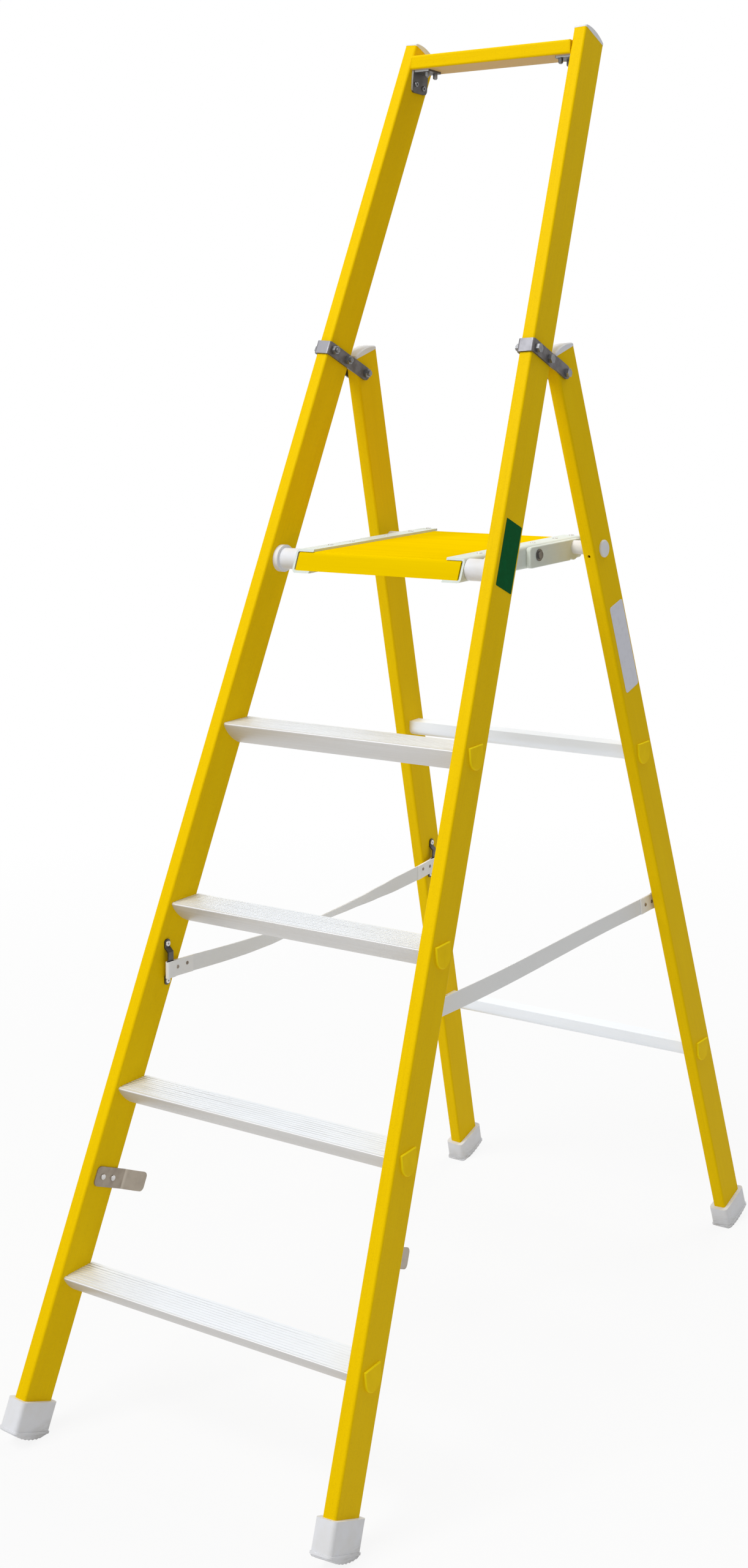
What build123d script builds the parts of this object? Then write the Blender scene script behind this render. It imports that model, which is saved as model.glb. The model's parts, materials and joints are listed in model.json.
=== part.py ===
from build123d import *
import os
from math import atan, cos, degrees, radians, sin, tan

# Platform step ladder with insulating fibreglass stiles. Millimetres, +Z up,
# front of the ladder towards -Y, ground at Z = 0, width along X.

# Stance of the two frames
LEAN_FRONT = 24.7
LEAN_REAR = 15.7
HALF_SPREAD = 274.0
SPREAD_LOSS = 0.0571
FRONT_Y = -595.26

# Box section of the stiles and of the top rail
STILE_W = 21.0
STILE_D = 58.0
STILE_R = 3.5
STILE_WALL = 3.0
FRONT_FOOT = 26.0
CAP_RIM = 4.0
CAP_CROWN = 9.5
CAP_LAP = 0.3
CAP_PLUG = 14.0
CAP_PLAY = 0.2
FRONT_TOP = 2166.0
REAR_FOOT = 18.0
REAR_ABOVE_HINGE = 31.0

# Treads
STEP_COUNT = 4
FIRST_STEP = 224.0
STEP_PITCH = 250.0
STEP_FRONT = 25.0
STEP_REAR = 33.0
STEP_DEEP = 36.0
STEP_NOSE = 3.0
STEP_WALL = 2.2
GROOVES = 9
GROOVE_W = 1.8
GROOVE_D = 0.7

# Shield shaped tread ends, cross bar ends and their cover plugs
SHIELD_W = 36.0
SHIELD_H = 33.0
SHIELD_RISE = 4.0
SHIELD_FRONT_Y = -3.0
SHIELD_FRONT_LEAN = -5.0
SHIELD_REAR_Y = 1.5
SHIELD_REAR_LEAN = 4.0
PLUG_T = 3.0
PLUG_EDGE = 1.0
TENON_INSET = 4.0
TENON_PLAY = 0.15

# Rear cross bars
BAR_LOW = 353.0
BAR_HIGH = 889.0
BAR_W = 28.0
BAR_H = 25.0
BAR_WALL = 2.0

# Hinge straps
HINGE_S = 1656.5
HINGE_BACK = 70.5
HINGE_IN = 13.0
STRAP_H = 20.0
STRAP_T = 3.0
STRAP_FLARE = 1.4
STRAP_BOLT_OFF = 19.0
BOLT_R = 4.0
BOLT_PLAY = 0.05
NUT_AF = 12.0
NUT_T = 5.5

# Platform
PLAT_TOP = 1223.0
PLAT_H = 34.0
PLAT_FRONT = 12.3
PLAT_REAR_OVER = 35.0
LIP = 31.5
CHANNEL_T = 3.5
CHANNEL_R = 6.0
DECK_CELLS = 6
DECK_WALL = 3.0
DECK_NOSE = 8.0
ROD_R = 8.0
BUSH_R = 15.8
COLLAR_R = 20.5
COLLAR_T = 8.0
BUSH_LONG = 38.3
SIDE_PLAY = 0.4

# Folding link arms and their rear tubes
TUBE_RISE = 3.0
TUBE_R = 10.5
TUBE_WALL = 2.5
RUN_PLAY = 0.05
ARM_LONG = 107.6
ARM_T = 7.0
ARM_FRONT = 25.0
ARM_H = 31.5
ARM_CORNER = 6.0
EYE_R = 19.5
END_CAP_R = 13.3
END_CAP_T = 3.0
SET_SCREW_R = 2.4

# Guard rail
RAIL_DROP = 31.3
RAIL_TILT = 4.0
RAIL_GAP = 1.5
BRACKET_T = 3.0
BRACKET_Y = -4.0
BRACKET_W = 40.0
BRACKET_DROP = 33.0
BRACKET_REACH = 30.0

# Feet
BOOT_W = 33.0
BOOT_D = 72.0
BOOT_R = 6.0
BOOT_RIM_FRONT = 60.5
BOOT_SOLE_FRONT = 14.5
BOOT_BOW_FRONT = 7.5
BOOT_RIM_REAR = 46.5
BOOT_SOLE_REAR = 8.0
BOOT_BOW_REAR = 4.5
BOOT_WELT = 1.2
BOOT_WELT_H = 3.0
SOLE_TEETH = 9
SOLE_TOOTH = 1.4

# Webbing stays and their bridge loops, fold clips
STAY_FRONT_Z = 632.0
STAY_REAR_Z = 624.0
STAY_W = 25.0
STAY_T = 2.2
STAY_PLAY = 0.9
LOOP_FRONT_Z = 638.0
LOOP_FRONT_Y = 4.0
LOOP_REAR_Z = 630.0
LOOP_REAR_Y = -6.0
LOOP_L = 70.0
LOOP_W = 11.0
LOOP_T = 2.0
LOOP_RISE = 6.5
LOOP_FOOT = 13.0
LOOP_LEG = 6.0
CLIP_S = 384.0
CLIP_H = 29.0
CLIP_T = 2.0
CLIP_BEND = 43.0
CLIP_TIP = 88.0
CLIP_START = 17.0

FAR = 3000.0


def tilted(y, lean):
    """Location whose Z runs up a frame leaning by the angle from its foot at Y."""
    up = (0, sin(radians(lean)), cos(radians(lean)))
    return Plane(origin=(0, y, 0), x_dir=(1, 0, 0), z_dir=up).location


def front_point(s, back):
    """World Y and Z of a point up the front frame and behind its centre line."""
    a = radians(LEAN_FRONT)
    return FRONT_Y + s * sin(a) + back * cos(a), s * cos(a) - back * sin(a)


HINGE_Y, HINGE_Z = front_point(HINGE_S, HINGE_BACK)
REAR_S = (HINGE_Z + HINGE_IN * sin(radians(LEAN_REAR))) / cos(radians(LEAN_REAR))
REAR_Y = HINGE_Y + REAR_S * sin(radians(LEAN_REAR)) + HINGE_IN * cos(radians(LEAN_REAR))
HINGE_X = HALF_SPREAD - SPREAD_LOSS * HINGE_S
REAR_LOSS = (HALF_SPREAD - HINGE_X) / REAR_S
REAR_TOP = REAR_S + REAR_ABOVE_HINGE

FRONT = tilted(FRONT_Y, LEAN_FRONT)
REAR = tilted(REAR_Y, -LEAN_REAR)
STILE_F = FRONT * Location((HALF_SPREAD, 0, 0), (0, -degrees(atan(SPREAD_LOSS)), 0))
STILE_B = REAR * Location((HALF_SPREAD, 0, 0), (0, -degrees(atan(REAR_LOSS)), 0))

PIVOT_Z = PLAT_TOP - PLAT_H / 2
PIVOT_Y = FRONT_Y + PIVOT_Z * tan(radians(LEAN_FRONT))
PIVOT_X = HALF_SPREAD - SPREAD_LOSS * PIVOT_Z / cos(radians(LEAN_FRONT))
PLAT_HALF = PIVOT_X - STILE_W / 2 - BUSH_LONG - SIDE_PLAY
RAIL_Z = FRONT_TOP * cos(radians(LEAN_FRONT)) - RAIL_DROP
TUBE_Z = PIVOT_Z + TUBE_RISE
TUBE_Y = REAR_Y - TUBE_Z * tan(radians(LEAN_REAR))
ARM_Y = TUBE_Y - ARM_LONG
ARM_Z = TUBE_Z + (PIVOT_Z - TUBE_Z) * ARM_LONG / (TUBE_Y - PIVOT_Y)


def axis_y(z, front=True):
    """World Y of a stile's centre line at a height."""
    if front:
        return FRONT_Y + z * tan(radians(LEAN_FRONT))
    return REAR_Y - z * tan(radians(LEAN_REAR))


def across(face, y, z, half=FAR / 6):
    """Prism along X of a section drawn in the Y-Z plane about a point."""
    return Pos(0, y, z) * extrude(Plane.YZ * face, amount=half, both=True)


def x_rod(radius, x0, x1, y, z):
    """Round bar along X between two stations."""
    disc = Plane.YZ * Circle(radius)
    return Pos(x0, y, z) * extrude(disc, amount=x1 - x0)


def x_bar(radius, x0, x1, y, z):
    """Eight sided bar along X between two stations, for clamping bolts and stems."""
    face = Plane.YZ * RegularPolygon(radius, 8)
    return Pos(x0, y, z) * extrude(face, amount=x1 - x0)


def mirrored(shape):
    return mirror(shape, about=Plane.YZ)


def group(*shapes):
    """Separate solids kept side by side in one node."""
    solids = []
    for shape in shapes:
        solids.extend(shape.solids())
    return Compound(children=solids)


def band(stile, x0, x1):
    """Slab of space between two planes parallel to a stile's side faces."""
    return stile * Pos((x0 + x1) / 2, 0, FAR / 2) * Box(x1 - x0, FAR / 5, 1.5 * FAR)


def between(shape, stile):
    """The part of a shape that lies between the inner faces of both stiles."""
    outside = band(stile, -STILE_W / 2, FAR / 4)
    return shape - outside - mirrored(outside)


def box_section(wide, deep):
    bore = Rectangle(wide - 2 * STILE_WALL, deep - 2 * STILE_WALL)
    return RectangleRounded(wide, deep, STILE_R) - bore


def shield(lean, inset=0.0):
    """Flat topped, round bottomed outline about the middle of its top edge."""
    w = SHIELD_W / 2
    h = SHIELD_H
    top_left = (-w, 0)
    top_right = (w, 0)
    right = (w - 1, -0.55 * h)
    left = (-w, -0.55 * h)
    tip = (lean, -h)
    edges = [
        Line(top_left, top_right),
        Line(top_right, right),
        ThreePointArc(right, tip, left),
        Line(left, top_left),
    ]
    face = make_face(edges)
    if inset:
        face = offset(face, amount=-inset, kind=Kind.INTERSECTION)
    return face


def shield_at(z, front, inset=0.0):
    """Shield prism through a frame at a tread or cross bar height."""
    lean = SHIELD_FRONT_LEAN if front else SHIELD_REAR_LEAN
    shift = SHIELD_FRONT_Y if front else SHIELD_REAR_Y
    return across(shield(lean, inset), axis_y(z, front) + shift, z + SHIELD_RISE)


def tenon_face(inset):
    """Plain five sided section of a tread's or cross bar's end."""
    w = SHIELD_W / 2 - inset
    low = inset - SHIELD_H
    corners = [(-w, -inset), (w, -inset), (w, 0.55 * low), (0, low + 2), (-w, 0.55 * low)]
    return make_face(Polyline(corners, close=True))


def tenon_at(z, front, face):
    shift = SHIELD_FRONT_Y if front else SHIELD_REAR_Y
    return across(face, axis_y(z, front) + shift, z + SHIELD_RISE)


def step_heights():
    return [FIRST_STEP + i * STEP_PITCH for i in range(STEP_COUNT)]


def front_stile():
    tube = extrude(box_section(STILE_W, STILE_D), amount=FRONT_TOP - FRONT_FOOT)
    tube = STILE_F * Pos(0, 0, FRONT_FOOT) * tube
    for z in step_heights():
        tube -= tenon_at(z, True, tenon_face(TENON_INSET - TENON_PLAY))
    for back in (-STRAP_BOLT_OFF, STRAP_BOLT_OFF):
        y, z = front_point(HINGE_S, back)
        tube -= x_bar(BOLT_R + BOLT_PLAY, 0, FAR / 6, y, z)
    inner = band(STILE_F, -STILE_W, 0)
    tube -= x_rod(ROD_R, 0, FAR / 6, PIVOT_Y, PIVOT_Z) & inner
    return tube


def rear_stile():
    tube = extrude(box_section(STILE_W, STILE_D), amount=REAR_TOP - REAR_FOOT)
    tube = STILE_B * Pos(0, 0, REAR_FOOT) * tube
    for z in (BAR_LOW, BAR_HIGH):
        tube -= tenon_at(z, False, tenon_face(TENON_INSET - TENON_PLAY))
    tube -= x_rod(BOLT_R + BOLT_PLAY, 0, FAR / 6, HINGE_Y, HINGE_Z)
    tube -= x_rod(TUBE_R, 0, FAR / 6, TUBE_Y, TUBE_Z)
    screw = Rot(90, 0, 0) * Cylinder(SET_SCREW_R, STILE_D)
    screw = Pos(0, -STILE_D / 2 - STILE_WALL, TUBE_Z / cos(radians(LEAN_REAR))) * screw
    return tube - STILE_B * screw


def end_cap(stile, s):
    """Plastic cap with a low crown over the rim and a spigot down the box section."""
    wide = STILE_W + 2 * CAP_LAP
    deep = STILE_D + 2 * CAP_LAP
    edges = [
        Line((-deep / 2, 0), (deep / 2, 0)),
        Line((deep / 2, 0), (deep / 2, CAP_RIM)),
        ThreePointArc((deep / 2, CAP_RIM), (0, CAP_CROWN), (-deep / 2, CAP_RIM)),
        Line((-deep / 2, CAP_RIM), (-deep / 2, 0)),
    ]
    top = extrude(Plane.YZ * make_face(edges), amount=wide / 2, both=True)
    top = top & extrude(RectangleRounded(wide, deep, STILE_R), amount=2 * CAP_CROWN)
    rim = top.faces().sort_by(Axis.Z)[-1].edges().filter_by(GeomType.CIRCLE)
    top = chamfer(rim.sort_by(Edge.length)[-2:], 1.5)
    bore_w = STILE_W - 2 * (STILE_WALL + CAP_PLAY)
    bore_d = STILE_D - 2 * (STILE_WALL + CAP_PLAY)
    spigot = Rectangle(bore_w, bore_d)
    top += Pos(0, 0, -CAP_PLUG) * extrude(spigot, amount=CAP_PLUG)
    return stile * Pos(0, 0, s) * top


def step_section():
    w = STEP_FRONT + STEP_REAR
    lip = -STEP_FRONT
    slope = tan(radians(LEAN_FRONT))
    heel = (STEP_REAR - 0.87 * STEP_DEEP * slope, -0.87 * STEP_DEEP)
    keel = (lip + 0.57 * w, -0.97 * STEP_DEEP)
    keel_mid = (keel[0] + 0.7 * (heel[0] - keel[0]), -STEP_DEEP + 0.6)
    flank = (lip + 0.30 * w, -0.69 * STEP_DEEP)
    bend = STEP_NOSE * (1 - cos(radians(45)))
    edges = [
        Line((STEP_REAR, 0), (lip + STEP_NOSE, 0)),
        ThreePointArc((lip + STEP_NOSE, 0), (lip + bend, -bend), (lip, -STEP_NOSE)),
        ThreePointArc((lip, -STEP_NOSE), flank, keel),
        ThreePointArc(keel, keel_mid, heel),
        Line(heel, (STEP_REAR, 0)),
    ]
    return make_face(edges)


def step(z):
    """Ribbed hollow tread whose narrower ends pass through both stiles."""
    outer = step_section()
    section = outer - offset(outer, amount=-STEP_WALL, kind=Kind.INTERSECTION)
    pitch = (STEP_FRONT + STEP_REAR - 2 * STEP_NOSE) / GROOVES
    for i in range(GROOVES):
        y = STEP_NOSE - STEP_FRONT + (i + 0.5) * pitch
        section -= Pos(y, 0) * Rectangle(GROOVE_W, 2 * GROOVE_D)
    body = between(across(section, axis_y(z), z), STILE_F)
    bore = tenon_face(TENON_INSET + STEP_WALL)
    tenon = tenon_at(z, True, tenon_face(TENON_INSET) - bore)
    right = tenon & band(STILE_F, -STILE_W / 2, STILE_W / 2)
    return body + right + mirrored(right)


def plug(z, front):
    """Shield shaped cover pressed over a tread or cross bar end."""
    stile = STILE_F if front else STILE_B
    plate = shield_at(z, front) & band(stile, STILE_W / 2, STILE_W / 2 + PLUG_T)
    plate = plate.solids().sort_by(Axis.X)[-1]
    outer = plate.faces().filter_by(GeomType.PLANE).sort_by(Axis.X)[-1]
    return chamfer(outer.edges(), PLUG_EDGE)


def cross_bar(z):
    """Hollow rear cross bar with a flat top and a round underside."""
    half = BAR_W / 2
    edges = [
        Line((-half, 0), (half, 0)),
        Line((half, 0), (half, -0.4 * BAR_H)),
        ThreePointArc((half, -0.4 * BAR_H), (0, -BAR_H), (-half, -0.4 * BAR_H)),
        Line((-half, -0.4 * BAR_H), (-half, 0)),
    ]
    outer = make_face(edges)
    section = outer - offset(outer, amount=-BAR_WALL, kind=Kind.INTERSECTION)
    body = between(across(section, axis_y(z, False), z), STILE_B)
    bore = tenon_face(TENON_INSET + BAR_WALL)
    tenon = tenon_at(z, False, tenon_face(TENON_INSET) - bore)
    right = tenon & band(STILE_B, -STILE_W / 2, STILE_W / 2)
    return body + right + mirrored(right)


def boot(stile, foot, rim, sole, bow):
    """Moulded foot: a socket round the stile over a bowed, toothed sole cut by the ground."""
    half = BOOT_D / 2
    tread = []
    for i in range(2 * SOLE_TEETH + 1):
        u = i / SOLE_TEETH - 1
        tread.append((u * half, sole - bow * (1 - u * u) + (i % 2) * SOLE_TOOTH))
    corners = tread + [(half, rim), (-half, rim)]
    face = make_face(Polyline(corners, close=True))
    body = extrude(Plane.YZ * face, amount=BOOT_W / 2, both=True)
    plan = extrude(RectangleRounded(BOOT_W, BOOT_D, BOOT_R), amount=2 * rim)
    body = body & Pos(0, 0, -rim) * plan
    lip = 2 * BOOT_WELT
    welt = extrude(RectangleRounded(BOOT_W + lip, BOOT_D + lip, BOOT_R), amount=BOOT_WELT_H)
    body += Pos(0, 0, sole + SOLE_TOOTH) * welt
    socket = extrude(RectangleRounded(STILE_W, STILE_D, STILE_R), amount=2 * rim)
    body -= Pos(0, 0, foot) * socket
    return stile * body - Pos(0, 0, -FAR / 2) * Box(FAR, FAR, FAR)


def front_boot():
    return boot(STILE_F, FRONT_FOOT, BOOT_RIM_FRONT, BOOT_SOLE_FRONT, BOOT_BOW_FRONT)


def rear_boot():
    return boot(STILE_B, REAR_FOOT, BOOT_RIM_REAR, BOOT_SOLE_REAR, BOOT_BOW_REAR)


def rail_seat():
    """Location of the guard rail's underside: its rear edge dips a little."""
    return Pos(0, axis_y(RAIL_Z), RAIL_Z) * Rot(-RAIL_TILT, 0, 0)


def top_rail():
    """Guard rail cut from the stile's section, a hair short of both stiles."""
    section = Rot(0, 0, 90) * box_section(STILE_W, STILE_D)
    bar = rail_seat() * across(section, 0, STILE_W / 2)
    outside = band(STILE_F, -STILE_W / 2 - RAIL_GAP, FAR / 4)
    return bar - outside - mirrored(outside)


def rail_end_x():
    """Distance of the stile's inner face from the middle at the guard rail."""
    s = RAIL_Z / cos(radians(LEAN_FRONT))
    return HALF_SPREAD - SPREAD_LOSS * s - STILE_W / 2


def rail_bracket():
    """Steel angle: one leg down the stile's inner face, one under the guard rail."""
    leg = Rectangle(BRACKET_W, BRACKET_DROP)
    leg = fillet(leg.vertices().group_by(Axis.Y)[0], 7)
    plate = rail_seat() * across(leg, BRACKET_Y, -BRACKET_DROP / 2)
    inner = -STILE_W / 2
    plate = plate & band(STILE_F, inner - BRACKET_T, inner)
    plate = plate.solids().sort_by(Axis.X)[-1]
    shelf = Rectangle(BRACKET_REACH + 12, BRACKET_W - 4)
    shelf = fillet(shelf.vertices().group_by(Axis.X)[0], 3)
    shelf = extrude(shelf, amount=-BRACKET_T)
    shelf = rail_seat() * Pos(rail_end_x() - BRACKET_REACH / 2 + 6, BRACKET_Y, 0) * shelf
    return plate + (shelf - band(STILE_F, inner, FAR / 4))


def hinge_strap():
    """U strap bent round the front stile; its tails straddle the rear stile's top."""
    w = STILE_W / 2
    d = STILE_D / 2
    end = HINGE_BACK + STRAP_H / 2
    flare = w + STRAP_FLARE
    inside = [(-d, w), (d, w), (d + 13, flare), (end, flare)]
    outside = [(b, a + STRAP_T) for b, a in inside]
    outside[0] = (-d - STRAP_T, w + STRAP_T)
    loop = outside + inside[::-1] + [(b, -a) for b, a in inside]
    loop += [(b, -a) for b, a in outside[::-1]]
    face = make_face(Polyline([(a, b) for b, a in loop], close=True))
    corner = face.vertices().group_by(Axis.Y)[0]
    face = fillet(corner, STRAP_T + 1.0)
    bar = extrude(face, amount=STRAP_H / 2, both=True)
    tip = Rot(0, 90, 0) * Cylinder(STRAP_H / 2, 4 * STILE_W)
    keep = Pos(0, HINGE_BACK, 0) * tip + Pos(0, HINGE_BACK - 100, 0) * Box(99, 200, 99)
    bar = STILE_F * Pos(0, 0, HINGE_S / cos(atan(SPREAD_LOSS))) * (bar & keep)
    for back in (-STRAP_BOLT_OFF, STRAP_BOLT_OFF):
        y, z = front_point(HINGE_S, back)
        bar -= x_bar(BOLT_R, 0, FAR / 6, y, z)
    return bar - x_rod(BOLT_R, 0, FAR / 6, HINGE_Y, HINGE_Z)


def strap_bolt(back):
    """Hexagon bolt along X with a nut through the strap, round where it is the hinge."""
    y, z = front_point(HINGE_S, back)
    hinge = back > STILE_D / 2
    out = STILE_W / 2 + STRAP_T + (STRAP_FLARE if hinge else 0)
    make = x_rod if hinge else x_bar
    shank = make(BOLT_R, HINGE_X - out - NUT_T - 3, HINGE_X + out + 1, y, z)
    hexagon = Plane.YZ * RegularPolygon(NUT_AF / 2, 6, major_radius=False)
    bar = Pos(0, y, z) * extrude(hexagon, amount=FAR / 6)
    head = bar & band(STILE_F, out, out + NUT_T)
    nut = bar & band(STILE_F, -out - NUT_T, -out)
    return shank + head + nut


def channel():
    """Side rail of the platform: a channel open inwards, cut to the stile's slope."""
    h = PLAT_H
    outer = Pos(-LIP / 2, 0) * Rectangle(LIP, h)
    outer = fillet(outer.vertices().group_by(Axis.X)[-1], CHANNEL_R)
    bore = Pos(-LIP / 2 - CHANNEL_T, 0) * Rectangle(LIP, h - 2 * CHANNEL_T)
    bore = fillet(bore.vertices().group_by(Axis.X)[-1], CHANNEL_R - CHANNEL_T)
    section = outer - bore
    length = PLAT_REAR_OVER + TUBE_Y + FAR / 10
    bar = extrude(Plane.XZ * section, amount=-length)
    bar = Pos(PLAT_HALF, -FAR / 10, PIVOT_Z) * bar
    bar -= platform_front()
    return bar - x_rod(ROD_R + RUN_PLAY, 0, FAR / 6, PIVOT_Y, PIVOT_Z)


def platform_front():
    """Everything ahead of the platform's sloping front face."""
    block = Pos(0, PLAT_FRONT - STILE_D / 2 - FAR / 12, 0) * Box(FAR / 3, FAR / 6, FAR)
    return FRONT * Pos(0, 0, PIVOT_Z / cos(radians(LEAN_FRONT))) * block


def deck():
    """Pultruded plank with closed cells, held between the lips of the channels."""
    thick = PLAT_H - 2 * CHANNEL_T
    half = PLAT_HALF - CHANNEL_R
    slope = tan(radians(LEAN_FRONT))
    front_mid = PIVOT_Y - (STILE_D / 2 - PLAT_FRONT) / cos(radians(LEAN_FRONT))
    rear = TUBE_Y + PLAT_REAR_OVER - 6.0
    top = thick / 2
    corners = [
        (front_mid + top * slope, top),
        (rear, top),
        (rear, -top),
        (front_mid - top * slope, -top),
    ]
    face = make_face(Polyline(corners, close=True))
    nose = [v for v in face.vertices() if v.X < front_mid + 20 and v.Y > 0]
    face = fillet(nose, DECK_NOSE)
    start = PIVOT_Y - ROD_R - 5.0
    cell = (rear - start) / DECK_CELLS
    for i in range(DECK_CELLS):
        y = start + (i + 0.5) * cell
        void = Rectangle(cell - DECK_WALL, thick - 2 * DECK_WALL)
        face -= Pos(y, 0) * void
    plank = extrude(Plane.YZ * face, amount=half, both=True)
    return Pos(0, 0, PIVOT_Z) * plank


def pivot_rod():
    """Steel rod that the platform tips on, let into both stiles' inner walls."""
    return x_rod(ROD_R, -PIVOT_X, PIVOT_X, PIVOT_Y, PIVOT_Z)


def bush():
    """Stepped spacer on the pivot rod between the stile and the platform's side."""
    x0 = PLAT_HALF + SIDE_PLAY
    body = x_rod(BUSH_R, x0, FAR / 6, PIVOT_Y, PIVOT_Z)
    collar = x_rod(COLLAR_R, 0, FAR / 6, PIVOT_Y, PIVOT_Z)
    body += collar & band(STILE_F, -STILE_W / 2 - COLLAR_T, 0)
    body -= band(STILE_F, -STILE_W / 2, FAR / 4)
    return body - x_rod(ROD_R, 0, FAR / 6, PIVOT_Y, PIVOT_Z)


def rear_tube():
    """Short tube fixed across a rear stile, carrying the link arm's eye."""
    x0 = PLAT_HALF + SIDE_PLAY
    tube = x_rod(TUBE_R, x0, FAR / 6, TUBE_Y, TUBE_Z)
    tube -= x_rod(TUBE_R - TUBE_WALL, 0, FAR / 6, TUBE_Y, TUBE_Z)
    return tube - band(STILE_B, STILE_W / 2, FAR / 4)


def tube_cap():
    """Round plastic button closing the tube's outer end."""
    face = STILE_W / 2
    button = x_rod(END_CAP_R, 0, FAR / 6, TUBE_Y, TUBE_Z)
    button = button & band(STILE_B, face, face + END_CAP_T)
    button = button.solids().sort_by(Axis.X)[-1]
    rim = button.faces().filter_by(GeomType.PLANE).sort_by(Axis.X)[-1]
    button = chamfer(rim.edges(), 0.4 * END_CAP_T)
    stem = x_bar(TUBE_R - TUBE_WALL - CAP_PLAY, 0, FAR / 6, TUBE_Y, TUBE_Z)
    return button + (stem & band(STILE_B, face - 9, face + 1))


def link_arm():
    """Flat arm from the platform's side to its eye on the rear tube."""
    x0 = PLAT_HALF + SIDE_PLAY
    front = ARM_Y - ARM_FRONT
    rear = TUBE_Y - 0.6 * EYE_R
    low = PIVOT_Z - PLAT_H / 2 + 0.8
    bar = Pos((front + rear) / 2, low + ARM_H / 2) * Rectangle(rear - front, ARM_H)
    bar = fillet(bar.vertices().group_by(Axis.X)[0], ARM_CORNER)
    lid = Pos(TUBE_Y, low + ARM_H - 50) * Rectangle(4 * EYE_R, 100)
    eye = Pos(TUBE_Y, TUBE_Z) * Circle(EYE_R) & lid
    face = bar + eye - Pos(TUBE_Y, TUBE_Z) * Circle(TUBE_R + RUN_PLAY)
    face -= Pos(ARM_Y, ARM_Z) * Circle(BOLT_R)
    arm = Pos(x0, 0, 0) * extrude(Plane.YZ * face, amount=ARM_T)
    rim = arm.faces().sort_by(Axis.X)[-1].outer_wire().edges()
    return chamfer(rim, 1.0)


def arm_bolt():
    """Flanged pivot bolt of the link arm."""
    x0 = PLAT_HALF + SIDE_PLAY
    x1 = x0 + ARM_T
    bolt = x_rod(BOLT_R, x0, x1 + 4.0, ARM_Y, ARM_Z)
    bolt += x_rod(9.0, x1, x1 + 1.5, ARM_Y, ARM_Z)
    return bolt + x_rod(6.0, x1 + 1.5, x1 + 4.0, ARM_Y, ARM_Z)


def bridge_loop(stile, y, z):
    """Bent steel strip on the stile's inner face, raised in the middle for the webbing."""
    h = LOOP_L / 2
    f = h - LOOP_FOOT
    t = LOOP_T
    r = LOOP_RISE
    k = t * tan(atan(r / LOOP_LEG) / 2)
    e = f - LOOP_LEG
    low = [(-h, 0), (-f, 0), (-e, r), (e, r), (f, 0), (h, 0)]
    high = [(h, t), (f + k, t), (e + k, r + t), (-e - k, r + t), (-f - k, t), (-h, t)]
    face = make_face(Polyline(low + high, close=True))
    strip = extrude(face, amount=LOOP_W / 2, both=True)
    plan = Plane.XZ * RectangleRounded(LOOP_L, LOOP_W, 0.4 * LOOP_W)
    strip = strip & extrude(plan, amount=3 * (r + t), both=True)
    return seat_on(stile, y, z) * strip


def seat_on(stile, y, z):
    """Location on a stile's inner face: X upright, Y inwards off the face."""
    front = stile is STILE_F
    lean = LEAN_FRONT if front else -LEAN_REAR
    s = z / cos(radians(lean))
    turn = Location((-STILE_W / 2, 0, s), (0, 0, 0)) * Rot(lean, 0, 0)
    up = Plane(origin=(0, 0, 0), x_dir=(0, 0, 1), z_dir=(0, -1, 0)).location
    return stile * turn * Pos(0, y, 0) * up


def stay():
    """Webbing stay from the front bridge loop to the rear one."""
    z0 = STAY_FRONT_Z
    z1 = STAY_REAR_Z
    y0 = axis_y(LOOP_FRONT_Z) + LOOP_FRONT_Y - 0.8 * LOOP_W
    y1 = axis_y(LOOP_REAR_Z, False) + LOOP_REAR_Y + 0.8 * LOOP_W
    h = STAY_W / 2
    x0 = HALF_SPREAD - SPREAD_LOSS * (z0 + h) / cos(radians(LEAN_FRONT))
    x1 = HALF_SPREAD - REAR_LOSS * (z1 + h) / cos(radians(LEAN_REAR))
    x = min(x0, x1) - STILE_W / 2 - STAY_T / 2 - STAY_PLAY
    corners = [(y0, z0 - h), (y1, z1 - h), (y1, z1 + h), (y0, z0 + h)]
    face = make_face(Polyline(corners, close=True))
    return Pos(x, 0, 0) * extrude(Plane.YZ * face, amount=STAY_T / 2, both=True)


def fold_clip():
    """Sprung steel tongue riveted inside the front stile to hold the folded frame."""
    w = -STILE_W / 2
    t = CLIP_T
    points = [(-CLIP_START, 0), (CLIP_BEND, 0), (CLIP_TIP - 18, 5), (CLIP_TIP, 6)]
    back = [(b, a + t) for b, a in points[::-1]]
    face = make_face(Polyline([(w - a, b) for b, a in points + back], close=True))
    bar = extrude(face, amount=CLIP_H / 2, both=True)
    long = CLIP_TIP + CLIP_START
    plan = Pos((CLIP_TIP - CLIP_START) / 2, 0) * RectangleRounded(long, CLIP_H, 7)
    plan = extrude(Plane.YZ * plan, amount=60, both=True)
    return STILE_F * Pos(0, 0, CLIP_S) * (bar & plan)


def both(shapes):
    return group(*shapes, *[mirrored(s) for s in shapes])


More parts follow.
